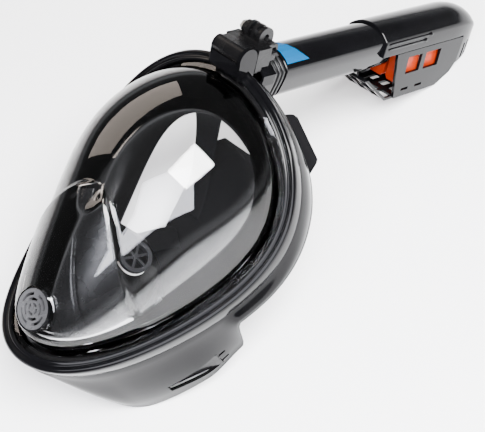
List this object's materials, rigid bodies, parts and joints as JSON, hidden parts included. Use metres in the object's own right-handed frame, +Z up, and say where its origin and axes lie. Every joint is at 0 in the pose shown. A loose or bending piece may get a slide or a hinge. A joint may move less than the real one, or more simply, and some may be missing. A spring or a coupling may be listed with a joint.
{
  "type": "full face snorkel mask",
  "caption": "Full face snorkel mask with a clear domed lens, inner breathing pocket, straight dry-top snorkel with floats, camera mount and head straps.",
  "frame": {"origin": "on the resting surface, under the middle of the object's box", "axes": "+X to the wearer's right across the mask, +Y from the chin to the snorkel's far end, +Z up"},
  "size_m": [0.2054, 0.4998, 0.196],
  "materials": {
    "clear_lens": "clear polished polycarbonate",
    "gloss_black": "high gloss moulded",
    "satin_black": "fine satin moulded",
    "black_silicone": "matte silicone",
    "black_webbing": "woven elastic",
    "orange_float": "satin moulded",
    "blue_label": "smooth printed film",
    "steel": "zinc plated"
  },
  "bodies": {
    "mask": {"lens": "clear_lens", "front_bezel": "gloss_black", "lens_gasket": "black_silicone", "rear_frame": "gloss_black", "face_skirt": "black_silicone", "breathing_pocket": "black_silicone", "chin_cover": "gloss_black", "drain_housing": "gloss_black", "drain_grille": "gloss_black", "inhale_seat_left": "satin_black", "inhale_seat_right": "satin_black", "upper_strap_left": "black_webbing", "upper_strap_right": "black_webbing", "lower_strap_left": "black_webbing", "lower_strap_right": "black_webbing", "head_panel": "black_webbing", "snorkel_socket": "gloss_black", "camera_dock": "gloss_black"},
    "snorkel": {"tube_collar": "satin_black", "collar_seal": "black_silicone", "snorkel_tube": "gloss_black", "label_plate": "blue_label", "dry_top_cover": "gloss_black", "channel_floor": "satin_black", "float_cage": "gloss_black"},
    "left_float": {"float_left": "orange_float", "float_seal_left": "black_silicone"},
    "right_float": {"float_right": "orange_float", "float_seal_right": "black_silicone"},
    "mount": {"camera_mount": "satin_black", "camera_nut": "steel"},
    "drain_valve": {"drain_flap": "black_silicone"},
    "left_inhale_valve": {"inhale_flap_left": "black_silicone"},
    "right_inhale_valve": {"inhale_flap_right": "black_silicone"},
    "left_clip": {"strap_clip_left": "satin_black"},
    "right_clip": {"strap_clip_right": "satin_black"}
  },
  "joints": [
    {"name": "snorkel_slide", "type": "slide", "parent": "mask", "child": "snorkel", "axis": [0, 0.8755, -0.4833], "range_m": [0, 0.03]},
    {"name": "left_float_slide", "type": "slide", "parent": "snorkel", "child": "left_float", "axis": [0, 0.8755, -0.4833], "range_m": [-0.008, 0]},
    {"name": "right_float_slide", "type": "slide", "parent": "snorkel", "child": "right_float", "axis": [0, 0.8755, -0.4833], "range_m": [-0.008, 0]},
    {"name": "mount_hinge", "type": "hinge", "parent": "mask", "child": "mount", "pos_m": [0, -0.008, 0.18746], "axis": [1, 0, 0], "range_deg": [0, 60]},
    {"name": "drain_valve_lift", "type": "slide", "parent": "mask", "child": "drain_valve", "axis": [0, -0.6032, 0.7976], "range_m": [0, 0.002]},
    {"name": "left_inhale_lift", "type": "slide", "parent": "mask", "child": "left_inhale_valve", "axis": [0.5496, -0.2251, -0.8045], "range_m": [0, 0.002], "stiffness_N_per_m": 20},
    {"name": "right_inhale_lift", "type": "slide", "parent": "mask", "child": "right_inhale_valve", "axis": [-0.5496, -0.2251, -0.8045], "range_m": [0, 0.002], "stiffness_N_per_m": 20},
    {"name": "left_clip_slide", "type": "slide", "parent": "mask", "child": "left_clip", "axis": [-0.8851, -0.4653, 0.0066], "range_m": [0, 0.012]},
    {"name": "right_clip_slide", "type": "slide", "parent": "mask", "child": "right_clip", "axis": [0.8851, -0.4653, 0.0066], "range_m": [0, 0.012]}
  ]
}
